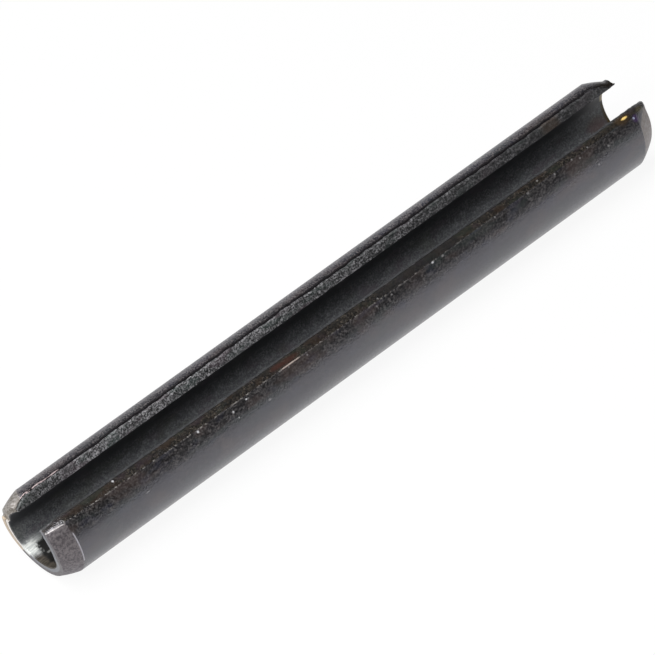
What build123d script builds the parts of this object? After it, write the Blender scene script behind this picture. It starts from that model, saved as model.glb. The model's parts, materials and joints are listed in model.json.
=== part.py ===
from build123d import *
import math
import os

# Slotted spring pin, heavy duty, for an 8 mm hole. Sizes are in millimetres and degrees.
# The origin is on the pin's axis at mid-length. +X runs along the axis and +Z points out
# through the middle of the slot, so the pin lies on its back at z = -radius. The strip was
# sheared a little out of square: the end at -X leans, and its two lips reach furthest.

length = 70.0             # along the axis
free_diameter = 8.7       # before it is driven in: the hole squeezes it to 8
wall = 1.5                # thickness of the strip that the pin is rolled from

slot_angle = 68.0         # between the two slot faces, seen from the axis
slot_twist = 4.0          # the slot wanders round by this much from end to end

rollover_depth = 0.42     # each slot face's outer corner is drawn down by the shears
rollover_angle = 10.0     # how far round the skin the drawn-down corner reaches
rollover_round = 0.3      # radius where it turns into the slot face

near_lean = 9.5           # how far the end face at -X leans out towards the slot
near_shoulder_lean = 5.2  # its lead-in starts on a line that leans less
near_lead_in = 1.85       # length of each lead-in, on the axis
far_lead_in = 1.75
near_land = 0.85          # flat ring on each end face, from the bore to the lead-in
far_land = 0.64
lead_in_bow = 0.05        # how far the lead-ins bulge beyond a true cone
mouth_break = 0.08        # edge taken off the bore's two mouths

cutter_margin = 1.0       # how far a cutter runs past what it cuts

radius = free_diameter / 2
bore_radius = radius - wall
half_length = length / 2
longest_reach = half_length + radius * math.tan(math.radians(near_lean))


def leaning_plane(x, lean):
    """A plane across the axis at x, tipped about Y so that it runs to -X on the slot side."""
    turn = math.radians(lean)
    return Plane((x, 0, 0), (0, 1, 0), (math.cos(turn), 0, math.sin(turn)))


def slice_of_bar(x, lean, bar_radius):
    """The face that a leaning plane cuts in a round bar."""
    tall = bar_radius / math.cos(math.radians(lean))
    return leaning_plane(x, lean) * Ellipse(bar_radius, tall)


def lead_in(shoulder_x, shoulder_lean, tip_x, tip_lean, tip_radius):
    """The tapered end of the bar, from the shoulder on the skin to the end face."""
    middle_radius = (radius + tip_radius) / 2 + lead_in_bow
    slices = [
        slice_of_bar(shoulder_x, shoulder_lean, radius),
        slice_of_bar((shoulder_x + tip_x) / 2, (shoulder_lean + tip_lean) / 2, middle_radius),
        slice_of_bar(tip_x, tip_lean, tip_radius),
    ]
    return loft(slices)


def solid_bar():
    """The pin's outside: a round bar between its shoulders, with a lead-in at each end."""
    near_shoulder = near_lead_in - half_length
    far_shoulder = half_length - far_lead_in
    bar = Plane.YZ * Cylinder(radius, length)
    bar = split(bar, leaning_plane(near_shoulder, near_shoulder_lean), keep=Keep.TOP)
    bar = split(bar, leaning_plane(far_shoulder, 0), keep=Keep.BOTTOM)
    near_tip_radius = bore_radius + near_land
    far_tip_radius = bore_radius + far_land
    bar += lead_in(near_shoulder, near_shoulder_lean, -half_length, near_lean, near_tip_radius)
    bar += lead_in(far_shoulder, 0, half_length, 0, far_tip_radius)
    return bar


def rolled_tube():
    """The bar with its bore, whose two mouths are broken."""
    bore = Plane.YZ * Cylinder(bore_radius, 2 * (longest_reach + cutter_margin))
    tube = solid_bar() - bore
    round_faces = tube.faces().filter_by(GeomType.CYLINDER)
    bore_wall = min(round_faces, key=lambda face: face.radius)
    mouths = bore_wall.edges().filter_by(GeomType.LINE, reverse=True)
    return chamfer(mouths, mouth_break)


def polar(distance, angle):
    """A point of the slot's section: angle is measured from the middle of the slot."""
    turn = math.radians(angle)
    return Vector(distance * math.sin(turn), distance * math.cos(turn))


def slot_section():
    """What the slot takes from the tube: a wedge from the axis, wider through the skin."""
    face_angle = slot_angle / 2
    corner = polar(radius - rollover_depth, face_angle)
    skin = polar(radius, face_angle + rollover_angle)
    ramp = (skin - corner).normalized()
    outside = skin + ramp * cutter_margin
    mirrored = [Vector(-point.X, point.Y) for point in (outside, corner)]
    top = polar(outside.length + cutter_margin, 0)
    outline = Polyline((0, 0), corner, outside, top, *mirrored, close=True)
    section = make_face(outline)
    corners = section.vertices().sort_by(SortBy.DISTANCE)[1:3]
    return fillet(corners, rollover_round)


def slot_cutter():
    """The slot's section carried along the pin, turning as it goes."""
    reach = longest_reach + cutter_margin
    ends = []
    for side in (-1, 1):
        turn = math.radians(side * slot_twist / 2 * reach / half_length)
        across = (0, math.cos(turn), math.sin(turn))
        ends.append(Plane((side * reach, 0, 0), across, (1, 0, 0)) * slot_section())
    return loft(ends, ruled=True)


pin = rolled_tube() - slot_cutter()
pin.label = "spring_pin"

os.makedirs("parts", exist_ok=True)
export_step(pin, "parts/spring_pin.step")
print("spring_pin volume", round(pin.volume, 2), "solids", len(pin.solids()))
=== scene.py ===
import json
import math

import bpy
import numpy as np
from mathutils import Matrix, Vector, noise


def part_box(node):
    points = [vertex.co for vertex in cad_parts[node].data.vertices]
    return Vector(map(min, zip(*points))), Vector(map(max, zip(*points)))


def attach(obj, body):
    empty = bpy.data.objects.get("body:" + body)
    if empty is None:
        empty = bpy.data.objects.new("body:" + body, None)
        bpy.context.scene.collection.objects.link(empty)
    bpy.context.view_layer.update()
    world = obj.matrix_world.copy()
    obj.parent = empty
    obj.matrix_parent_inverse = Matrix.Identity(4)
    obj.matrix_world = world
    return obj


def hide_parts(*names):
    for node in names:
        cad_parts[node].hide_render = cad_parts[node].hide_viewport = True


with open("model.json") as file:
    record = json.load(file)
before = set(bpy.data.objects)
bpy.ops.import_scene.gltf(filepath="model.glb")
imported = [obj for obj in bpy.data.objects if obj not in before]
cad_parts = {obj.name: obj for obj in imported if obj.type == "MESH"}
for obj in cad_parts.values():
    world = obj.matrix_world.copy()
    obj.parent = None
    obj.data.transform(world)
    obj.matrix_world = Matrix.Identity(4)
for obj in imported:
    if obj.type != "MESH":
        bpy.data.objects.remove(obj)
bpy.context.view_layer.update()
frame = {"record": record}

# ================================================================ sizes, in millimetres and degrees
MM = 0.001
NODE = "spring_pin"
MOUNTS = {mount["name"]: mount["dims"] for mount in frame["record"]["mounts"]}
RADIUS = MOUNTS["shank"]["r_mm"]
BORE_RADIUS = MOUNTS["bore"]["r_mm"]
HALF_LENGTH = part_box(NODE)[1].x / MM

SLOT_ANGLE = 68.0
SLOT_TWIST = 4.0
NEAR_LEAD_IN, FAR_LEAD_IN = 1.85, 1.75
NEAR_LEAN, NEAR_SHOULDER_LEAN = 9.5, 6.3
NEAR_LEAN_REACH = 5 * NEAR_LEAD_IN
NEAR_TIP, FAR_TIP = BORE_RADIUS + 0.85, BORE_RADIUS + 0.64
LEAD_IN_BOW = 0.05
NEAR_LEFT_BOW, NEAR_LEFT_BOW_ANGLE = 0.1, 8
MOUTH_BREAK = 0.08

# The shears drew the outer corners of the slot down. The left lip is the one at +Y, and the
# right one's corner ends at a crease, which is narrower towards the two ends.
LEFT_CORNER_DEPTH, LEFT_CORNER_CURVE, LEFT_CORNER_ANGLE = 0.72, 1.8, 15.0
RIGHT_CORNER_DEPTH, RIGHT_CORNER_CURVE = 0.42, 1.15
RIGHT_CREASE = {"x": (-35.3, -32.3, -21.0, 5.0, 26.0, 35.0), "angle": (7.6, 11.3, 12.8, 12.6, 10.5, 9.5)}
LIP_ROUND = 0.16
BURR, BURR_ANGLE = 0.1, 5

# The lips' ends are ragged. Each form is how far it moves the end along the pin, and how many degrees
# round the pin it takes. The spur reaches FAR_SPUR_BACK less at the skin than at the bore, and it has a
# thin nib. The last two say how far from each end the ragged forms die out.
NEAR_LEFT_CUT, NEAR_LEFT_CUT_ANGLE = 0.6, 11
NEAR_RIGHT_CUT, NEAR_RIGHT_CUT_ANGLE = 0.2, 14
NEAR_RIGHT_SWELL, NEAR_RIGHT_SWELL_MIDDLE, NEAR_RIGHT_SWELL_ANGLE = 0.13, 90, 22
NEAR_NOTCH, NEAR_NOTCH_START, NEAR_NOTCH_ANGLE, NOTCH_WALL = 0.24, 50, 78.0, 1
FAR_SPUR, FAR_SPUR_BACK, FAR_SPUR_ANGLE = 0.46, 0.2, 22
FAR_SPUR_NIB, FAR_SPUR_NIB_ANGLE = 0.38, 26
FAR_RIGHT_CORNER, FAR_RIGHT_CORNER_ANGLE = 0.3, 9
FAR_RIGHT_SETBACK, FAR_RIGHT_SETBACK_MIDDLE, FAR_RIGHT_SETBACK_ANGLE = 0.28, 105, 35
NEAR_RAGGED, FAR_RAGGED = 1.6, 2.2

# Roughness in the shape. WOBBLE is a share of the corner's depth, noise cells per mm and a seed.
# TORN is mm, noise cells per mm along and through the slot faces, and a seed. It has its full depth
# from 1 / TORN_RISE of the way through the wall. The last five values keep the lips, the ends and the
# seeds apart in the noise.
WOBBLE = ((0.14, 0.9, 1), (0.1, 0.25, 2))
TORN = ((0.04, 3.6, 3.6, 3), (0.03, 0.8, 0.9, 4))
TORN_ANGLE, TORN_RISE = 1.2, 6
CHIP, CHIP_SEED, CHIP_REACH, CHIP_ANGLE = 0.07, 5, 0.7, 16
CHIPS_PER_DEGREE, CHIPS_PER_MM = 0.35, 3.0
WOBBLE_APART, TORN_APART, CHIPS_APART, ENDS_APART, SEEDS_APART = 5.0, 9.0, 7.0, 3.0, 17.3

# The rubbed tapers: the near left one keeps a dark corner, and the far right one a dark side.
KEPT_DARK_DEPTH, KEPT_DARK_LIMIT, KEPT_DARK_POWER = 0.8, 1.2, 1.5
FAR_DARK_ANGLE, FAR_DARK_SWEEP = 60, 19

# ================================================================ the mesh's lattice
NOMINAL_FACE = SLOT_ANGLE / 2
RIGHT_FACE = 360 - NOMINAL_FACE
NOMINAL_CORNER = 14.0
NOMINAL_SKIN = NOMINAL_FACE + NOMINAL_CORNER
BESIDE_ANGLE = 14.0
STEPS_CORNER = 11
STEPS_BESIDE = 4
STEPS_TO_NOTCH = 3
STEPS_BACK = 36
STEPS_THROUGH = 14
STEPS_LEAD_IN = 20
STEPS_LENGTH = 490


def spread(*stretches):
    """Stations from (start, finish, steps) stretches that follow on from each other."""
    stations = [np.linspace(a, b, n, endpoint=False) for a, b, n in stretches]
    return np.append(np.concatenate(stations), stretches[-1][1])


def lattice():
    """Stations round the wall in degrees, through it from 0 to 1, and along it in mm."""
    beside = NOMINAL_SKIN + BESIDE_ANGLE
    around = spread(
        (NOMINAL_FACE, NOMINAL_SKIN, STEPS_CORNER),
        (NOMINAL_SKIN, beside, STEPS_BESIDE),
        (beside, NEAR_NOTCH_ANGLE, STEPS_TO_NOTCH),
        (NEAR_NOTCH_ANGLE, NEAR_NOTCH_ANGLE + NOTCH_WALL, 1),
        (NEAR_NOTCH_ANGLE + NOTCH_WALL, 360 - beside, STEPS_BACK),
        (360 - beside, 360 - NOMINAL_SKIN, STEPS_BESIDE),
        (360 - NOMINAL_SKIN, RIGHT_FACE, STEPS_CORNER),
    )
    through = np.linspace(0, 1, STEPS_THROUGH + 1)
    along = spread(
        (-HALF_LENGTH, MOUTH_BREAK - HALF_LENGTH, 1),
        (MOUTH_BREAK - HALF_LENGTH, NEAR_LEAD_IN - HALF_LENGTH, STEPS_LEAD_IN),
        (NEAR_LEAD_IN - HALF_LENGTH, HALF_LENGTH - FAR_LEAD_IN, STEPS_LENGTH),
        (HALF_LENGTH - FAR_LEAD_IN, HALF_LENGTH - MOUTH_BREAK, STEPS_LEAD_IN),
        (HALF_LENGTH - MOUTH_BREAK, HALF_LENGTH, 1),
    )
    return around, through, along


# ================================================================ the wall's shape
def hump(value, middle, reach):
    """A smooth bump, 1 at the middle and near 0 beyond twice the reach."""
    return np.exp(-((value - middle) / reach) ** 2)


def field(x, y, z, seed):
    """Smooth noise between -1 and 1, at points given in the noise's own units."""
    points = np.stack([x, y + seed * SEEDS_APART, z], -1).tolist()
    return np.array([noise.noise(point) for point in points])


def corner_angle(right, x):
    """How many degrees of the skin the drawn-down corner takes."""
    return np.where(right, np.interp(x, RIGHT_CREASE["x"], RIGHT_CREASE["angle"]), LEFT_CORNER_ANGLE)


def from_slot(angle, right, x):
    """Degrees from the slot's middle, with the corner's stations on its own width, and that width."""
    nominal = np.minimum(angle, 360 - angle)
    width = corner_angle(right, x)
    outside = NOMINAL_SKIN + BESIDE_ANGLE
    on_corner = NOMINAL_FACE + (nominal - NOMINAL_FACE) * width / NOMINAL_CORNER
    part = (nominal - NOMINAL_SKIN) / BESIDE_ANGLE
    beside = NOMINAL_FACE + width + part * (outside - NOMINAL_FACE - width)
    folded = np.where(nominal < NOMINAL_SKIN, on_corner, np.where(nominal < outside, beside, nominal))
    return folded, width


def lead_in_radius(folded, right, x):
    """The outside of the bar: round, with a taper at each end, and a nib on the far left one."""
    near = x < 0
    length = np.where(near, NEAR_LEAD_IN, FAR_LEAD_IN)
    tip = np.where(near, NEAR_TIP, FAR_TIP)
    nib = FAR_SPUR_NIB * hump(folded, NOMINAL_FACE, FAR_SPUR_NIB_ANGLE) * (~right & ~near)
    inward = np.clip((HALF_LENGTH - nib - np.abs(x)) / length, 0, 1)
    left_bow = NEAR_LEFT_BOW * hump(folded, NOMINAL_FACE, NEAR_LEFT_BOW_ANGLE) * (~right & near)
    return tip + (RADIUS - tip) * inward + 4 * (LEAD_IN_BOW + left_bow) * inward * (1 - inward)


def lean_slope(x):
    """How far the cross sections lean, as a slope. They lean at the near end, and less further in."""
    slopes = (math.tan(math.radians(NEAR_LEAN)), math.tan(math.radians(NEAR_SHOULDER_LEAN)), 0)
    return np.interp(x + HALF_LENGTH, (0, NEAR_LEAD_IN, NEAR_LEAN_REACH), slopes)


def end_reach(folded, right, through, x):
    """How much further out the ragged ends reach than a clean cut, in mm."""
    def at_face(reach):
        return hump(folded, NOMINAL_FACE, reach)
    near = hump(x, -HALF_LENGTH, NEAR_RAGGED)
    far = hump(x, HALF_LENGTH, FAR_RAGGED)
    notch = np.clip((folded - NEAR_NOTCH_START) / (NEAR_NOTCH_ANGLE - NEAR_NOTCH_START), 0, 1)
    notch = NEAR_NOTCH * notch * (folded < NEAR_NOTCH_ANGLE + NOTCH_WALL / 2)
    near_left = -NEAR_LEFT_CUT * at_face(NEAR_LEFT_CUT_ANGLE) - notch
    swell = NEAR_RIGHT_SWELL * hump(folded, NEAR_RIGHT_SWELL_MIDDLE, NEAR_RIGHT_SWELL_ANGLE)
    near_right = swell - NEAR_RIGHT_CUT * at_face(NEAR_RIGHT_CUT_ANGLE)
    far_left = (FAR_SPUR - FAR_SPUR_BACK * through) * at_face(FAR_SPUR_ANGLE)
    setback = FAR_RIGHT_SETBACK * hump(folded, FAR_RIGHT_SETBACK_MIDDLE, FAR_RIGHT_SETBACK_ANGLE)
    far_right = FAR_RIGHT_CORNER * at_face(FAR_RIGHT_CORNER_ANGLE) - setback
    return near * np.where(right, near_right, near_left) + far * np.where(right, far_right, far_left)


def wall_radii(folded, width, right, x):
    """The inner and the outer radius, with the mouths' break, the burr and the drawn-down corners."""
    at_mouth = np.clip(1 - (HALF_LENGTH - np.abs(x)) / MOUTH_BREAK, 0, 1)
    burr = BURR * hump(folded, NOMINAL_FACE, BURR_ANGLE) * ~right
    inner = BORE_RADIUS + MOUTH_BREAK * at_mouth - burr
    climb = np.clip((folded - NOMINAL_FACE) / width, 0, 1)
    each_lip = right * WOBBLE_APART
    wobble = 1 + sum(share * field(x * pace, each_lip, 0 * x, seed) for share, pace, seed in WOBBLE)
    depth = np.where(right, RIGHT_CORNER_DEPTH, LEFT_CORNER_DEPTH)
    curve = np.where(right, RIGHT_CORNER_CURVE, LEFT_CORNER_CURVE)
    return inner, lead_in_radius(folded, right, x) - depth * wobble * (1 - climb) ** curve


def torn_back(folded, right, through, distance, outer, x):
    """How many mm the torn texture and the rounded corner push a slot face back into the wall."""
    torn = sum(
        size * field(x * along, distance * outwards, right * TORN_APART, seed)
        for size, along, outwards, seed in TORN
    )
    corner = LIP_ROUND * np.clip(1 - (outer - distance) / LIP_ROUND, 0, 1) ** 2
    return hump(folded, NOMINAL_FACE, TORN_ANGLE) * (torn * np.clip(TORN_RISE * through, 0, 1) + corner)


def chips(folded, right, distance, x):
    """Chips in the lips' ends, in mm outwards along the pin."""
    each_lip_and_end = right * CHIPS_APART + (x > 0) * ENDS_APART
    rough = CHIP * field(folded * CHIPS_PER_DEGREE, distance * CHIPS_PER_MM, each_lip_and_end, CHIP_SEED)
    return rough * hump(np.abs(x), HALF_LENGTH, CHIP_REACH) * hump(folded, NOMINAL_FACE, CHIP_ANGLE)


def wall_point(angle, through, x):
    """Where a lattice point lies, its degrees from the slot's middle, and its mm outside the crease."""
    right = angle > 180
    folded, width = from_slot(angle, right, x)
    inner, outer = wall_radii(folded, width, right, x)
    distance = inner + (outer - inner) * through
    folded = folded + np.degrees(torn_back(folded, right, through, distance, outer, x) / distance)
    turn = np.radians(np.where(right, 360 - folded, folded) - SLOT_TWIST / 2 * x / HALF_LENGTH)
    outward = np.sign(x) * (end_reach(folded, right, through, x) + chips(folded, right, distance, x))
    along = x + outward - lean_slope(x) * distance * np.cos(turn)
    crease = np.radians(folded - NOMINAL_FACE - width) * RADIUS
    return np.stack([along, distance * np.sin(turn), distance * np.cos(turn)], -1), folded, crease


def bare_margin(folded, right, crease, x):
    """How many mm a place lies inside the tapers' rubbed parts. It is negative outside them."""
    on_near = NEAR_LEAD_IN - HALF_LENGTH - x
    on_far = x - HALF_LENGTH + FAR_LEAD_IN
    near_left = on_near - KEPT_DARK_DEPTH * np.clip(-crease, 0, KEPT_DARK_LIMIT) ** KEPT_DARK_POWER
    near_right = np.minimum(on_near, crease)
    far_kept_dark = np.radians(folded - FAR_DARK_ANGLE + on_far / FAR_LEAD_IN * FAR_DARK_SWEEP) * RADIUS
    far_right = np.minimum(on_far, far_kept_dark)
    return np.where(x < 0, np.where(right, near_right, near_left), np.where(right, far_right, -1.0))


def box_numbers(counts):
    """A number for each point on the lattice's six sides, and -1 for those inside it."""
    on_skin = np.zeros(counts, bool)
    for axis in range(3):
        side = np.moveaxis(on_skin, axis, 0)
        side[0] = side[-1] = True
    number = np.full(counts, -1)
    number[on_skin] = np.arange(on_skin.sum())
    return number


def box_quads(number):
    """The quads of the six sides, which face out, and the side that each is on."""
    quads, sides = [], []
    for axis in range(3):
        for end in (0, -1):
            sheet = np.moveaxis(number, axis, 0)[end]
            corners = (sheet[:-1, :-1], sheet[1:, :-1], sheet[1:, 1:], sheet[:-1, 1:])
            quad = np.stack(corners, -1).reshape(-1, 4)
            flip = (end == 0) == (axis != 1)
            quads.append(quad[:, ::-1] if flip else quad)
            sides.append(np.full(len(quad), axis * 2 + (end == -1)))
    return np.concatenate(quads), np.concatenate(sides)


def skin_mesh():
    """The pin as one closed mesh: the six sides of a bar that is bent round into a C."""
    around, through, along = lattice()
    number = box_numbers((len(around), len(through), len(along)))
    quads, sides = box_quads(number)
    i, j, k = np.nonzero(number >= 0)
    right = around[i] > 180
    points, folded, crease = wall_point(around[i], through[j], along[k])
    bare = bare_margin(folded, right, crease, along[k])
    mesh = bpy.data.meshes.new("pin_skin")
    mesh.from_pydata((points * MM).tolist(), [], quads.tolist())
    mesh.update()
    round_it = np.where(right, 360 - folded, folded)
    strip = np.stack([points[:, 0], round_it, np.hypot(points[:, 1], points[:, 2])], -1)
    mesh.attributes.new("strip", "FLOAT_VECTOR", "POINT").data.foreach_set("vector", strip.ravel())
    for name, values in (("crease", crease), ("bare", bare)):
        mesh.attributes.new(name, "FLOAT", "POINT").data.foreach_set("value", values)
    return mesh, sides


# ================================================================ materials
SHARP_EDGE = 30
HALF_TURN = 180.0
MM_PER_DEGREE = math.radians(1) * RADIUS

# The finishes in the order of their slots, and the colour sockets of a Mix node.
SKIN, FACE, BORE, LAND = range(4)
MIX_FACTOR, MIX_UNDER, MIX_OVER, MIX_RESULT = 0, 6, 7, 2


def srgb(red, green, blue):
    """A colour written as it looks on screen, 0 to 255, turned into the linear values of a shader."""
    def linear(level):
        level = level / 255
        return level / 12.92 if level <= 0.04045 else ((level + 0.055) / 1.055) ** 2.4
    return (linear(red), linear(green), linear(blue), 1.0)


def even(level):
    """A grey of this linear level."""
    return (level, level, level, 1)


class Nodes:
    """Short names for building up the nodes of a shader."""

    def __init__(self, tree):
        self.tree = tree

    def node(self, kind, *sources):
        """A new node, with its first inputs joined to sockets or set to values."""
        node = self.tree.nodes.new("ShaderNode" + kind)
        for socket, source in zip(node.inputs, sources):
            self.feed(socket, source)
        return node

    def feed(self, socket, source):
        """Join an input to a socket, or set it to a value."""
        if isinstance(source, bpy.types.NodeSocket):
            self.tree.links.new(source, socket)
        else:
            socket.default_value = source

    def math(self, operation, first, second):
        """A sum, a difference, a product or a maximum of two values."""
        node = self.node("Math", first, second)
        node.operation = operation
        return node.outputs[0]

    def times(self, product, *others):
        """The product of masks and plain numbers."""
        for other in others:
            product = self.math("MULTIPLY", product, other)
        return product

    def rise(self, value, low, high):
        """0 below low, 1 above high and a smooth rise between. It falls where low is the larger."""
        node = self.node("MapRange", value, low, high)
        node.interpolation_type = "SMOOTHSTEP"
        return node.outputs[0]

    def mix(self, mask, under, over):
        """One colour over another where the mask is 1."""
        node = self.tree.nodes.new("ShaderNodeMix")
        node.data_type = "RGBA"
        self.feed(node.inputs[MIX_FACTOR], mask)
        self.feed(node.inputs[MIX_UNDER], under)
        self.feed(node.inputs[MIX_OVER], over)
        return node.outputs[MIX_RESULT]


class Finish(Nodes):
    """A surface finish: a material, with masks and marks for places on the pin.

    The mesh says where each point is: x along the pin in mm, the angle round it in degrees, the
    distance from its axis in mm, the mm outside the drawn-down corner's crease, and the mm inside
    the rubbed part of a taper. Masks named right, left and near cover those halves of the pin.
    """

    def __init__(self, name, metallic, roughness, ior):
        self.material = bpy.data.materials.new(name)
        self.material.use_nodes = True
        super().__init__(self.material.node_tree)
        self.surface = self.tree.nodes["Principled BSDF"].inputs
        self.surface["Metallic"].default_value = metallic
        self.surface["Roughness"].default_value = roughness
        self.surface["IOR"].default_value = ior
        self.place = self.scaled(self.node("TexCoord").outputs["Object"], (1 / MM, 1 / MM, 1 / MM))
        self.strip = self.attribute("strip").outputs["Vector"]
        self.x, self.angle, self.distance = self.node("SeparateXYZ", self.strip).outputs
        self.crease = self.attribute("crease").outputs["Fac"]
        self.bare = self.attribute("bare").outputs["Fac"]
        self.right = self.rise(self.angle, HALF_TURN - 1, HALF_TURN + 1)
        self.left = self.rise(self.angle, HALF_TURN + 1, HALF_TURN - 1)
        self.near = self.rise(self.x, 1.0, -1.0)
        self.from_near = self.math("ADD", self.x, HALF_LENGTH)
        self.from_far = self.math("SUBTRACT", HALF_LENGTH, self.x)

    def attribute(self, name):
        """A node that reads what the mesh says under this name."""
        node = self.node("Attribute")
        node.attribute_name = name
        return node

    def scaled(self, vector, scale):
        """A vector multiplied part by part."""
        node = self.node("VectorMath", vector, scale)
        node.operation = "MULTIPLY"
        return node.outputs[0]

    def noise(self, size, detail, roughness):
        """Noise from 0 to 1. Its features are about this many mm long, or this many in X, Y and Z."""
        size = size if isinstance(size, tuple) else (size, size, size)
        node = self.node("TexNoise")
        self.feed(node.inputs["Vector"], self.scaled(self.place, tuple(1 / part for part in size)))
        node.inputs["Scale"].default_value = 1.0
        node.inputs["Detail"].default_value = detail
        node.inputs["Roughness"].default_value = roughness
        return node.outputs[0]

    def swing(self, grain, width):
        """Noise moved to lie round 0, and made this wide."""
        return self.times(self.math("SUBTRACT", grain, 0.5), width)

    def grit(self, size):
        """Sharp grains of about this many mm, uneven from place to place."""
        fine = self.rise(self.noise(size, 2, 0.6), 0.4, 0.66)
        return self.times(fine, self.rise(self.noise(3 * size, 2, 0.5), 0.1, 0.7))

    def band(self, value, low, high, soft):
        """1 between low and high, and 0 outside them, with soft sides."""
        return self.times(self.rise(value, low - soft, low), self.rise(value, high + soft, high))

    def grained(self, grain, pits, peaks, high=0.7):
        """Two colours, one in the pits of the grain and the other on its peaks."""
        return self.mix(self.rise(grain, 0.35, high), pits, peaks)

    def spot(self, x, angle, radius, stretch=1.0):
        """A mask for a small mark at a place on the pin. Stretched marks are long in X."""
        flat = self.scaled(self.strip, (1 / stretch, MM_PER_DEGREE, 0))
        node = self.node("VectorMath", flat, (x / stretch, angle * MM_PER_DEGREE, 0))
        node.operation = "DISTANCE"
        return self.rise(node.outputs["Value"], radius, radius * 0.35)

    def marks(self, under, colour, strength, *places):
        """Marks of one colour. Each place is what spot() takes."""
        for place in places:
            under = self.mix(self.times(self.spot(*place), strength), under, colour)
        return under

    def clouds(self, under, colour, size, amount, strength):
        """Soft patches of a colour, which cover more of the surface for a larger amount."""
        cloud = self.rise(self.noise(size, 2, 0.5), 0.62 - 0.25 * amount, 0.78 - 0.25 * amount)
        return self.mix(self.times(cloud, strength), under, colour)

    def bump(self, height, strength, depth):
        """Relief finer than the mesh. The depth is in mm."""
        node = self.node("Bump")
        self.feed(node.inputs["Height"], height)
        node.inputs["Strength"].default_value = strength
        node.inputs["Distance"].default_value = depth * MM
        self.feed(self.surface["Normal"], node.outputs[0])


# ---------------------------------------------------------------- the skin
SKIN_ROUGHNESS, BESIDE_ROUGHNESS, RUBBED_ROUGHNESS = 0.24, 0.3, 0.5
RUBBED_METALLIC = 0.5
SKIN_IOR = 1.95
BLUISH = (0.94, 0.93, 1.0, 1.0)
WORN_STEEL_AND_HIGHLIGHT = srgb(150, 146, 142)
LIGHT_STEEL = (srgb(108, 102, 94), WORN_STEEL_AND_HIGHLIGHT)

# Where things are on the skin, as (low, high) for rise() and (low, high, soft) for band(). They are mm
# along the pin, mm from one of its ends, mm from the crease, mm inside a rubbed taper, or degrees.
BESIDE_UPPER, BESIDE_LOWER, BESIDE_UNEVEN = (-0.02, 0.1), (1.8, 1.2), 1.6
FLANK_UPPER, FLANK_LOWER = (1.2, 2.0), (4.5, 2.6)
CORNER_SIDE, PAINTED_SHADE_BY_SLOT = (0.05, -0.05), (RIGHT_FACE - 3.6, RIGHT_FACE - 2.2)
GREY_STRETCH, BRIGHT_STRETCH = (3.5, 11.0, 2.0), (-8.6, -7.2, 0.5)
WORN_AND_HIGHLIGHT_LINE, WORN_AND_HIGHLIGHT_FADE, BRIGHT_LINE = (-0.01, 0.05, 0.05), (50.0, -40.0), (-0.02, 0.04, 0.04)
LEFT_CORNER_SIDE, LEFT_EDGE = (0.1, -0.2), (-0.86, -0.98)
LEFT_HIGHLIGHT, LEFT_HIGHLIGHT_FROM_NEAR = (-1.05, -0.98, 0.03), (1.1, 5.4, 0.4)
RUBBED_SIDE, RUBBED_JAG, RUBBED_CREASE = (0.0, 0.08), 0.3, (0.02, -0.04)
SHOULDER_LINE, SHOULDER_ANGLES = (-0.04, 0.02, 0.05), (259, 299, 3)
CREST_LINE, CREST_INSIDE = (0.0, 0.14, 0.06), (0.0, 0.2)
BROWN_FROM_FAR = (2.0, 0.4)

# Small marks on the skin: x in mm, angle in degrees, radius in mm and stretch.
BRIGHT_SPECKS = (
    (-18.67, 310.9, 0.17), (-27.66, 321.5, 0.14), (-14.62, 296.5, 0.08), (8.76, 312.5, 0.1, 2.0),
    (-14.86, 305.9, 0.12), (-13.2, 309.3, 0.1, 1.6),
)
FAINT_SPECKS = (
    (-14.89, 304.7, 0.11), (-13.0, 308.8, 0.11), (1.97, 308.7, 0.12), (3.78, 309.9, 0.12),
    (2.45, 315.2, 0.12), (1.45, 323.8, 0.12), (9.92, 311.9, 0.12, 2.0), (16.22, 313.2, 0.12),
    (20.2, 313.2, 0.12, 1.5), (21.68, 319.0, 0.12), (25.62, 315.6, 0.12), (26.38, 311.6, 0.14),
    (27.59, 316.8, 0.12), (-25.4, 287.5, 0.08, 4.0), (-11.22, 292.8, 0.14, 1.6), (23.42, 313.3, 0.14),
    (29.48, 303.5, 0.16), (27.85, 291.7, 0.14), (-8.2, 311.0, 0.1), (-6.1, 310.0, 0.12),
)
CREASE_STAINS = ((-7.9, 318.0, 0.36, 5.0), (-9.2, 319.0, 0.3, 3.0))

# The small marks by colour, in the order that they go on: colour, strength and places. The tints are heat
# tints on the far end of the right lip. The golden glint is a painted highlight.
SKIN_MARKS = {
    "brown tint": (srgb(60, 46, 26), 0.8, ((32.0, 320.0, 0.8, 1.3),)),
    "golden glint": (srgb(250, 214, 130), 1.0, ((32.25, 319.4, 0.15, 3.0),)),
    "purple tint": (srgb(60, 42, 80), 0.8, ((33.2, 311.5, 0.5),)),
    "bluish glint": (srgb(170, 176, 200), 0.9, ((33.02, 312.9, 0.14),)),
    "olive tint": (srgb(78, 74, 52), 0.7, ((34.2, 317.5, 0.45, 1.6),)),
    "far left glint": (srgb(120, 122, 84), 0.9, ((32.9, 17.5, 0.32, 1.5),)),
    "bright specks": (srgb(205, 205, 208), 0.85, BRIGHT_SPECKS),
    "faint specks": (srgb(150, 148, 148), 0.5, FAINT_SPECKS),
    "dark speck": (srgb(20, 20, 20), 0.7, ((-17.34, 284.4, 0.3, 1.5),)),
}


def beside_crease(finish):
    """A mask for the rough band of skin beside the right lip's crease, with an uneven lower side."""
    uneven = finish.swing(finish.noise((1.2, 0.6, 0.6), 3, 0.6), BESIDE_UNEVEN)
    lower_side = finish.rise(finish.math("ADD", finish.crease, uneven), *BESIDE_LOWER)
    return finish.times(finish.right, finish.rise(finish.crease, *BESIDE_UPPER), lower_side)


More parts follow.
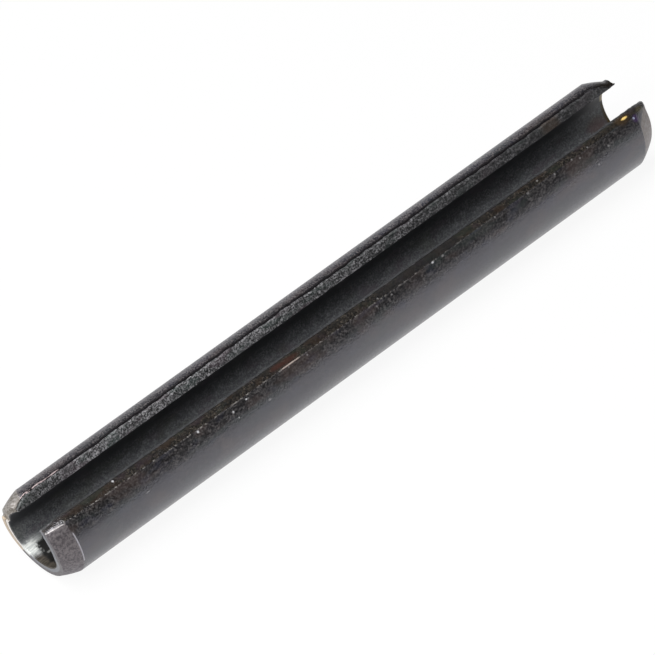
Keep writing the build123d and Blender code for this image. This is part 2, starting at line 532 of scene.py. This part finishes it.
def skin_oxide(finish, grain, beside):
    """Black oxide: smooth and clouded, rough beside the right lip's crease, with flecks below that."""
    mottle = finish.rise(finish.noise((1.4, 0.7, 0.7), 3, 0.6), 0.35, 0.7)
    oxide = finish.mix(mottle, srgb(26, 25, 31), srgb(36, 35, 41))
    oxide = finish.mix(finish.times(finish.rise(grain, 0.3, 0.7), 0.3), oxide, srgb(66, 65, 70))
    rough = finish.grained(grain, srgb(8, 8, 9), srgb(24, 23, 23))
    rough = finish.mix(finish.grit(0.17), rough, srgb(86, 83, 83))
    oxide = finish.mix(beside, oxide, rough)
    oxide = finish.clouds(oxide, srgb(78, 64, 58), (4.0, 1.8, 1.8), 0.5, 0.32)
    oxide = finish.clouds(oxide, srgb(40, 54, 50), (4.0, 1.2, 1.2), 0.4, 0.3)
    oxide = finish.clouds(oxide, srgb(46, 48, 64), (2.5, 1.0, 1.0), 0.4, 0.3)
    upper, lower = finish.rise(finish.crease, *FLANK_UPPER), finish.rise(finish.crease, *FLANK_LOWER)
    flank = finish.times(finish.right, upper, lower)
    flecks = finish.times(flank, finish.rise(finish.noise((0.5, 0.2, 0.2), 3, 0.7), 0.52, 0.7))
    return finish.mix(finish.times(flecks, 0.5), oxide, srgb(72, 64, 60))


def right_corner_oxide(finish, under, grain):
    """The right lip's drawn-down corner: dark brown, grey on one stretch, and a black line of painted
    shade by the slot.
    """
    brown = finish.grained(grain, srgb(9, 8, 7), srgb(26, 24, 21))
    brown = finish.mix(finish.grit(0.17), brown, srgb(72, 66, 58))
    brown = finish.clouds(brown, srgb(50, 37, 26), (1.8, 1.0, 1.0), 0.5, 0.5)
    brown = finish.clouds(brown, srgb(34, 42, 34), (2.5, 1.0, 1.0), 0.4, 0.5)
    brown = finish.clouds(brown, srgb(48, 36, 44), (1.5, 1.0, 1.0), 0.3, 0.4)
    grey_stretch = finish.times(finish.band(finish.x, *GREY_STRETCH), 0.65)
    brown = finish.mix(grey_stretch, brown, finish.mix(grain, srgb(14, 14, 15), srgb(40, 40, 41)))
    # Painted shade: a black line by the slot.
    brown = finish.mix(finish.rise(finish.angle, *PAINTED_SHADE_BY_SLOT), brown, srgb(6, 5, 5))
    corner = finish.times(finish.right, finish.rise(finish.crease, *CORNER_SIDE))
    return finish.mix(corner, under, brown)


def worn_and_highlit_crease(finish, under):
    """The right lip's crease: worn steel and painted highlight in dots, a painted highlight on one
    stretch, and reddish stains beside it.
    """
    dots = finish.noise((0.3, 0.25, 0.25), 3, 0.75)
    worn = finish.times(finish.right, finish.band(finish.crease, *WORN_AND_HIGHLIGHT_LINE))
    worn = finish.times(worn, finish.rise(dots, 0.47, 0.66), finish.rise(finish.x, *WORN_AND_HIGHLIGHT_FADE))
    under = finish.mix(worn, under, WORN_STEEL_AND_HIGHLIGHT)
    # A painted highlight on one stretch of the crease.
    bright = finish.times(finish.right, finish.band(finish.crease, *BRIGHT_LINE))
    bright = finish.times(bright, finish.rise(dots, 0.3, 0.5), finish.band(finish.x, *BRIGHT_STRETCH))
    under = finish.mix(bright, under, srgb(176, 162, 154))
    return finish.marks(under, srgb(70, 38, 28), 0.5, *CREASE_STAINS)


def left_corner_oxide(finish, under):
    """The left lip's drawn-down corner: gritty, dark at its edge, with a painted highlight line at the
    near end.
    """
    corner = finish.times(finish.left, finish.rise(finish.crease, *LEFT_CORNER_SIDE), finish.grit(0.16))
    under = finish.mix(corner, under, srgb(104, 99, 99))
    edge = finish.times(finish.left, finish.rise(finish.crease, *LEFT_EDGE))
    under = finish.mix(edge, under, srgb(24, 22, 23))
    # A painted highlight in breaks along the corner, near the near end.
    breaks = finish.rise(finish.noise((0.9, 0.4, 0.4), 2, 0.6), 0.35, 0.5)
    line = finish.times(finish.left, finish.band(finish.crease, *LEFT_HIGHLIGHT), breaks)
    line = finish.times(line, finish.band(finish.from_near, *LEFT_HIGHLIGHT_FROM_NEAR))
    return finish.mix(line, under, srgb(235, 215, 215))


def rubbed_mask(finish, grain):
    """1 on the rubbed tapers, with a grainy edge. The near right one stops at the crease."""
    inside = finish.math("ADD", finish.bare, finish.swing(grain, RUBBED_JAG))
    corner = finish.times(finish.right, finish.near, finish.rise(finish.crease, *RUBBED_CREASE))
    return finish.times(finish.rise(inside, *RUBBED_SIDE), finish.math("SUBTRACT", 1.0, corner))


def rubbed_steel(finish, under, grain, mask):
    """The rubbed tapers: light at the near left, purplish at the near right and grey at the far right."""
    light = finish.grained(grain, *LIGHT_STEEL, 0.65)
    purple = finish.grained(grain, srgb(74, 68, 71), srgb(118, 112, 113), 0.65)
    grey = finish.grained(grain, srgb(132, 125, 120), srgb(154, 149, 146))
    steel = finish.mix(finish.near, grey, finish.mix(finish.right, light, purple))
    return finish.mix(mask, under, steel)


def near_right_highlights(finish, under):
    """The near right taper's painted highlights: a line along its shoulder, and a ragged one by the
    crease.
    """
    near_right = finish.times(finish.right, finish.near)
    shoulder = finish.times(near_right, finish.band(finish.bare, *SHOULDER_LINE))
    shoulder = finish.times(shoulder, finish.band(finish.angle, *SHOULDER_ANGLES))
    under = finish.mix(shoulder, under, srgb(156, 154, 160))
    ragged = finish.rise(finish.noise((0.3, 0.5, 0.5), 3, 0.7), 0.3, 0.55)
    crest = finish.times(near_right, finish.band(finish.crease, *CREST_LINE), ragged)
    crest = finish.times(crest, finish.rise(finish.bare, *CREST_INSIDE))
    return finish.mix(crest, under, srgb(232, 228, 226))


def small_marks(finish, under):
    """The brown far end of the left lip, and all the small marks."""
    far_left = finish.times(finish.left, finish.rise(finish.from_far, *BROWN_FROM_FAR))
    under = finish.mix(far_left, under, srgb(30, 26, 20))
    for colour, strength, places in SKIN_MARKS.values():
        under = finish.marks(under, colour, strength, *places)
    return under


def skin_finish():
    """Black oxide outside, brown where the shears drew the right lip down, rubbed at the tapers, with
    painted highlights and shade at edges.
    """
    finish = Finish("black_oxide", metallic=0.0, roughness=SKIN_ROUGHNESS, ior=SKIN_IOR)
    finish.surface["Specular Tint"].default_value = BLUISH
    grain = finish.noise((0.26, 0.22, 0.22), 3, 0.65)
    beside = beside_crease(finish)
    bare = rubbed_mask(finish, grain)
    colour = skin_oxide(finish, grain, beside)
    colour = right_corner_oxide(finish, colour, grain)
    colour = worn_and_highlit_crease(finish, colour)
    colour = left_corner_oxide(finish, colour)
    colour = rubbed_steel(finish, colour, grain, bare)
    colour = near_right_highlights(finish, colour)
    finish.feed(finish.surface["Base Color"], small_marks(finish, colour))
    finish.feed(finish.surface["Metallic"], finish.times(bare, RUBBED_METALLIC))
    rough = finish.mix(beside, even(SKIN_ROUGHNESS), even(BESIDE_ROUGHNESS))
    finish.feed(finish.surface["Roughness"], finish.mix(bare, rough, even(RUBBED_ROUGHNESS)))
    finish.bump(finish.noise(0.18, 3, 0.6), strength=1.0, depth=0.035)
    return finish.material


# ---------------------------------------------------------------- the slot, the bore and the ends
# Where things are, in the same units: along the slot faces, round the rim of the right one, in the
# bore's near mouth and at its far rim, and on the flat rings of the ends.
FAR_SHADE, NEAR_SHADE = (-20.0, 30.0), (9.0, 2.0)
FACE_STAIN = (27.7, NOMINAL_FACE, 1.0, 1.4)
DARK_RIM = (RADIUS - 0.75, RADIUS - 0.65)
BLACK_FROM_NEAR, BLACK_FROM_FAR = (5.5, 3.5), (4.5, 3.0)
SHADE_UNDER_LEFT_LIP = (104, 86)
BORE_STAIN, BORE_BLUE = (33.6, 128, 1.5), (-3.0, 142, 0.7, 5.0)
MOUTH_RAGGED, MOUTH_RAGGED_ANGLE = 1.2, 14.0
# The near mouth's lit stretch is a painted pool of light, and its dark part further in is a painted
# shadow cast by the mouth's rim.
MOUTH_END_FROM_NEAR = (2.8, 0.8)
BROWN_ANGLES, LIT_START, LIT_FADE, LIT_LOW = (156, 170), (122, 134), (170, 148), (128, 140)
RIM_SHADOW_START, RIM_SHADOW_FROM_NEAR, RIM_SHADOW_END = (136, 146), (1.3, 1.7), (4.2, 2.8)
RIM_SHADOW_SLANT, RIM_SHADOW_SLANT_ANGLES = 0.35, (150, 175)
SCRATCH_ANGLES, SCRATCH_FROM_NEAR = (168, 171, 1), (1.7, 2.1, 0.1)
FAR_RIM, FAR_STRAW_ANGLES, FAR_GOLD_ANGLES = (0.5, 0.2), (76, 90, 4), (98, 140, 4)
INNER_RING = (BORE_RADIUS + 0.47, BORE_RADIUS + 0.39)
RING_PARTING = (BORE_RADIUS + 0.4, BORE_RADIUS + 0.47, 0.03)
RING_STRAW_ANGLES, RING_LIT_ANGLES = (NEAR_NOTCH_ANGLE, 138, 4), (138, 150, 6)
ABOVE_NOTCH = (NEAR_NOTCH_ANGLE + NOTCH_WALL, NEAR_NOTCH_ANGLE)


def face_finish():
    """The sheared slot faces: a torn, granular break, shaded towards the ends, and a dark right rim."""
    finish = Finish("sheared_steel", metallic=0.0, roughness=0.45, ior=1.6)
    grain = finish.noise(0.24, 3, 0.7)
    broken = finish.grained(grain, srgb(8, 9, 9), srgb(34, 34, 35))
    broken = finish.mix(finish.grit(0.15), broken, srgb(172, 171, 174))
    broken = finish.clouds(broken, srgb(66, 80, 76), (2.5, 1.0, 1.0), 0.5, 0.35)
    broken = finish.clouds(broken, srgb(92, 78, 86), (3.0, 1.2, 1.2), 0.4, 0.35)
    far_shade = finish.times(finish.rise(finish.x, *FAR_SHADE), 0.7)
    broken = finish.mix(far_shade, broken, srgb(38, 38, 39))
    near_shade = finish.times(finish.rise(finish.from_near, *NEAR_SHADE), 0.45)
    broken = finish.mix(near_shade, broken, srgb(34, 36, 35))
    broken = finish.marks(broken, srgb(78, 62, 50), 0.4, FACE_STAIN)
    rim = finish.times(finish.right, finish.rise(finish.distance, *DARK_RIM))
    rim_metal = finish.grained(grain, srgb(18, 19, 21), srgb(46, 48, 52), 0.65)
    near_end = finish.rise(finish.from_near, *BLACK_FROM_NEAR)
    far_end = finish.rise(finish.from_far, *BLACK_FROM_FAR)
    rim_metal = finish.mix(finish.math("MAXIMUM", near_end, far_end), rim_metal, srgb(20, 18, 16))
    finish.feed(finish.surface["Base Color"], finish.mix(rim, broken, rim_metal))
    finish.bump(grain, strength=0.8, depth=0.05)
    return finish.material


def near_mouth(finish, under):
    """The bore's near mouth: a painted pool of light low on the left, brown at the bottom and a painted
    shadow further in.
    """
    ragged = finish.swing(finish.noise(0.5, 3, 0.6), MOUTH_RAGGED)
    inside = finish.math("ADD", finish.from_near, ragged)
    angle = finish.math("ADD", finish.angle, finish.times(ragged, MOUTH_RAGGED_ANGLE))
    streaks = finish.rise(finish.noise((0.8, 0.12, 0.12), 3, 0.6), 0.35, 0.65)
    at_end = finish.rise(inside, *MOUTH_END_FROM_NEAR)
    brown = finish.times(at_end, finish.rise(angle, *BROWN_ANGLES))
    under = finish.mix(brown, under, finish.mix(streaks, srgb(38, 33, 27), srgb(80, 74, 66)))
    lit = finish.times(at_end, finish.rise(angle, *LIT_START), finish.rise(angle, *LIT_FADE))
    low = finish.rise(angle, *LIT_LOW)
    bright = finish.mix(low, srgb(120, 122, 124), srgb(240, 242, 238))
    dull = finish.mix(low, srgb(100, 102, 104), srgb(196, 200, 198))
    under = finish.mix(lit, under, finish.mix(streaks, dull, bright))
    return painted_rim_shadow(finish, under, inside, angle)


def painted_rim_shadow(finish, under, inside, angle):
    """A painted shadow cast by the mouth's rim, behind the painted pool of light, with a slanted near
    edge, and a scratch beside it.
    """
    slant = finish.times(finish.rise(angle, *RIM_SHADOW_SLANT_ANGLES), RIM_SHADOW_SLANT)
    start = finish.rise(finish.math("ADD", inside, slant), *RIM_SHADOW_FROM_NEAR)
    painted_shadow = finish.times(finish.rise(angle, *RIM_SHADOW_START), start, finish.rise(inside, *RIM_SHADOW_END))
    under = finish.mix(painted_shadow, under, srgb(12, 12, 11))
    scratch = finish.band(finish.angle, *SCRATCH_ANGLES)
    scratch = finish.times(scratch, finish.band(finish.from_near, *SCRATCH_FROM_NEAR), 0.6)
    return finish.mix(scratch, under, srgb(130, 130, 128))


def bore_finish():
    """The tube's inside: smooth and dark, with painted light and shadow in the near mouth, and a tinted
    far rim.
    """
    finish = Finish("bore_oxide", metallic=0.0, roughness=0.5, ior=1.5)
    mottle = finish.rise(finish.noise((1.4, 0.6, 0.6), 3, 0.6), 0.3, 0.7)
    oxide = finish.mix(mottle, srgb(68, 70, 73), srgb(86, 88, 91))
    oxide = finish.mix(finish.times(finish.grit(0.16), 0.35), oxide, srgb(170, 170, 172))
    # Painted shade: the bore is darker under the left lip.
    oxide = finish.mix(finish.rise(finish.angle, *SHADE_UNDER_LEFT_LIP), oxide, srgb(56, 57, 60))
    oxide = finish.clouds(oxide, srgb(88, 78, 86), (3.0, 1.2, 1.2), 0.4, 0.4)
    oxide = finish.clouds(oxide, srgb(78, 82, 68), (3.5, 1.5, 1.5), 0.3, 0.25)
    oxide = finish.marks(oxide, srgb(92, 68, 60), 0.45, BORE_STAIN)
    oxide = finish.marks(oxide, srgb(84, 98, 112), 0.6, BORE_BLUE)
    oxide = near_mouth(finish, oxide)
    far_rim = finish.rise(finish.from_far, *FAR_RIM)
    straw = finish.times(far_rim, finish.band(finish.angle, *FAR_STRAW_ANGLES))
    oxide = finish.mix(straw, oxide, srgb(205, 190, 160))
    golden = finish.times(far_rim, finish.band(finish.angle, *FAR_GOLD_ANGLES))
    finish.feed(finish.surface["Base Color"], finish.mix(golden, oxide, srgb(72, 58, 30)))
    finish.bump(finish.noise((0.5, 0.15, 0.15), 3, 0.6), strength=0.2, depth=0.02)
    return finish.material


def land_finish():
    """The flat rings on the ends: cut steel, straw on the left, light steel above the notch and a painted
    lit stretch below.
    """
    finish = Finish("cut_steel", metallic=0.4, roughness=0.4, ior=1.5)
    grain = finish.noise(0.26, 3, 0.6)
    inner = finish.rise(finish.distance, *INNER_RING)
    purple = finish.grained(grain, srgb(76, 72, 76), srgb(96, 92, 95))
    ring = finish.mix(inner, purple, srgb(112, 114, 120))
    straw = finish.mix(inner, srgb(186, 168, 146), srgb(214, 208, 202))
    straw = finish.mix(finish.band(finish.distance, *RING_PARTING), straw, srgb(112, 90, 66))
    ring = finish.mix(finish.band(finish.angle, *RING_STRAW_ANGLES), ring, straw)
    # Painted light: a lit stretch on the inner ring.
    lit = finish.times(inner, finish.band(finish.angle, *RING_LIT_ANGLES))
    ring = finish.mix(lit, ring, srgb(220, 222, 218))
    above_notch = finish.rise(finish.angle, *ABOVE_NOTCH)
    light = finish.mix(finish.rise(grain, 0.4, 0.6), *LIGHT_STEEL)
    finish.feed(finish.surface["Base Color"], finish.mix(above_notch, ring, light))
    finish.bump(grain, strength=0.2, depth=0.02)
    return finish.material


# ================================================================ the pin
def spring_pin():
    """The pin's dressed mesh, in place of the CAD node."""
    mesh, sides = skin_mesh()
    pin = bpy.data.objects.new("pin_skin", mesh)
    bpy.context.scene.collection.objects.link(pin)
    for finish in (skin_finish(), face_finish(), bore_finish(), land_finish()):
        mesh.materials.append(finish)
    # The lattice's sides are the two slot faces, the bore, the skin and the two ends.
    finish_of_side = np.array([FACE, FACE, BORE, SKIN, LAND, LAND])
    mesh.polygons.foreach_set("material_index", finish_of_side[sides])
    mesh.polygons.foreach_set("use_smooth", np.ones(len(sides), bool))
    mesh.set_sharp_from_angle(angle=math.radians(SHARP_EDGE))
    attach(pin, "root")
    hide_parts(NODE)


spring_pin()

# ================================================================ floor, light and camera
# How far the floor reaches in metres, how much of what is seen glows, and the level of its paper.
FLOOR_REACH, FLOOR_GLOW, PAPER = 1.5, 0.92, 0.87

# Each lamp: azimuth and elevation in degrees, distance and size in metres, and watts.
LAMPS = {"top": (-90, 66, 0.8, 0.6, 7.0), "key": (-75, 40, 0.35, 0.1, 0.42)}

# The dark part of the room, in parts of a unit direction: where it starts above the horizon, where it
# stops towards the back, and where it starts overhead. DIM is the room's level for diffuse light.
HORIZON, BACK, OVERHEAD = (-0.02, 0.04), (0.7, 0.4), (0.45, 0.75)
WHITE, DARK, DIM = 1, 0.04, 0.12

# The camera, in degrees and millimetres.
CAMERA_AZIMUTH, CAMERA_ELEVATION, CAMERA_ROLL = -38.445, 43.534, -7.136
CAMERA_DISTANCE, VIEW_ANGLE = 698.33, 4.5893
AIM_RIGHT, AIM_UP = -0.6928, -0.3747


def see_white(nodes, share):
    """A mask that is this share of 1 for the camera, for reflections and for what glass shows."""
    rays = nodes.node("LightPath").outputs
    seen = nodes.math("MAXIMUM", rays["Is Camera Ray"], rays["Is Glossy Ray"])
    seen = nodes.math("MAXIMUM", seen, rays["Is Transmission Ray"])
    return nodes.times(seen, share)


def floor():
    """A white table top that shows white to the camera and in reflections, and keeps a faint shadow."""
    sides = ((-1, -1), (1, -1), (1, 1), (-1, 1))
    corners = [(x * FLOOR_REACH, y * FLOOR_REACH, -RADIUS * MM) for x, y in sides]
    mesh = bpy.data.meshes.new("floor")
    mesh.from_pydata(corners, [], [(0, 1, 2, 3)])
    table = bpy.data.objects.new("floor", mesh)
    bpy.context.scene.collection.objects.link(table)
    material = bpy.data.materials.new("white_table")
    material.use_nodes = True
    nodes = Nodes(material.node_tree)
    nodes.tree.nodes.clear()
    paper = nodes.node("BsdfDiffuse", even(PAPER)).outputs[0]
    glow = nodes.node("Emission").outputs[0]
    blend = nodes.node("MixShader", see_white(nodes, FLOOR_GLOW), paper, glow).outputs[0]
    nodes.node("OutputMaterial", blend)
    mesh.materials.append(material)


def direction(azimuth, elevation):
    """From the pin outwards. Azimuth 0 is in front, at -Y, and it turns towards +X."""
    turn, tilt = math.radians(azimuth), math.radians(elevation)
    return Vector((math.sin(turn) * math.cos(tilt), -math.cos(turn) * math.cos(tilt), math.sin(tilt)))


def lamp(name, azimuth, elevation, distance, size, power):
    """A round soft lamp that faces the pin."""
    light = bpy.data.lights.new(name, "AREA")
    light.shape = "DISK"
    light.size = size
    light.energy = power
    back = direction(azimuth, elevation)
    holder = bpy.data.objects.new(name, light)
    holder.location = back * distance
    holder.rotation_euler = back.to_track_quat("Z", "Y").to_euler()
    bpy.context.scene.collection.objects.link(holder)


def room():
    """White below the horizon and up behind the pin, and dark elsewhere. Its diffuse light is dim."""
    world = bpy.data.worlds.new("room")
    bpy.context.scene.world = world
    world.use_nodes = True
    nodes = Nodes(world.node_tree)
    ray = nodes.node("SeparateXYZ", nodes.node("TexCoord").outputs["Generated"]).outputs
    in_front = nodes.times(nodes.rise(ray["Z"], *HORIZON), nodes.rise(ray["Y"], *BACK))
    dark = nodes.math("MAXIMUM", in_front, nodes.rise(ray["Z"], *OVERHEAD))
    seen = nodes.mix(dark, even(WHITE), even(DARK))
    colour = nodes.mix(see_white(nodes, 1.0), even(DIM), seen)
    nodes.feed(nodes.tree.nodes["Background"].inputs["Color"], colour)


def camera():
    """The view from in front and above, with a slight roll."""
    data = bpy.data.cameras.new("camera")
    data.angle = math.radians(VIEW_ANGLE)
    data.clip_start, data.clip_end = 0.01, 10
    holder = bpy.data.objects.new("camera", data)
    bpy.context.scene.collection.objects.link(holder)
    back = direction(CAMERA_AZIMUTH, CAMERA_ELEVATION)
    turn = math.radians(CAMERA_AZIMUTH)
    level = Vector((math.cos(turn), math.sin(turn), 0))
    right = Matrix.Rotation(math.radians(CAMERA_ROLL), 3, back) @ level
    up = back.cross(right)
    place = (right * AIM_RIGHT + up * AIM_UP + back * CAMERA_DISTANCE) * MM
    holder.matrix_world = Matrix.Translation(place) @ Matrix((right, up, back)).transposed().to_4x4()
    bpy.context.scene.camera = holder


floor()
for name, values in LAMPS.items():
    lamp(name, *values)
room()
camera()
bpy.context.scene.view_settings.view_transform = "Standard"
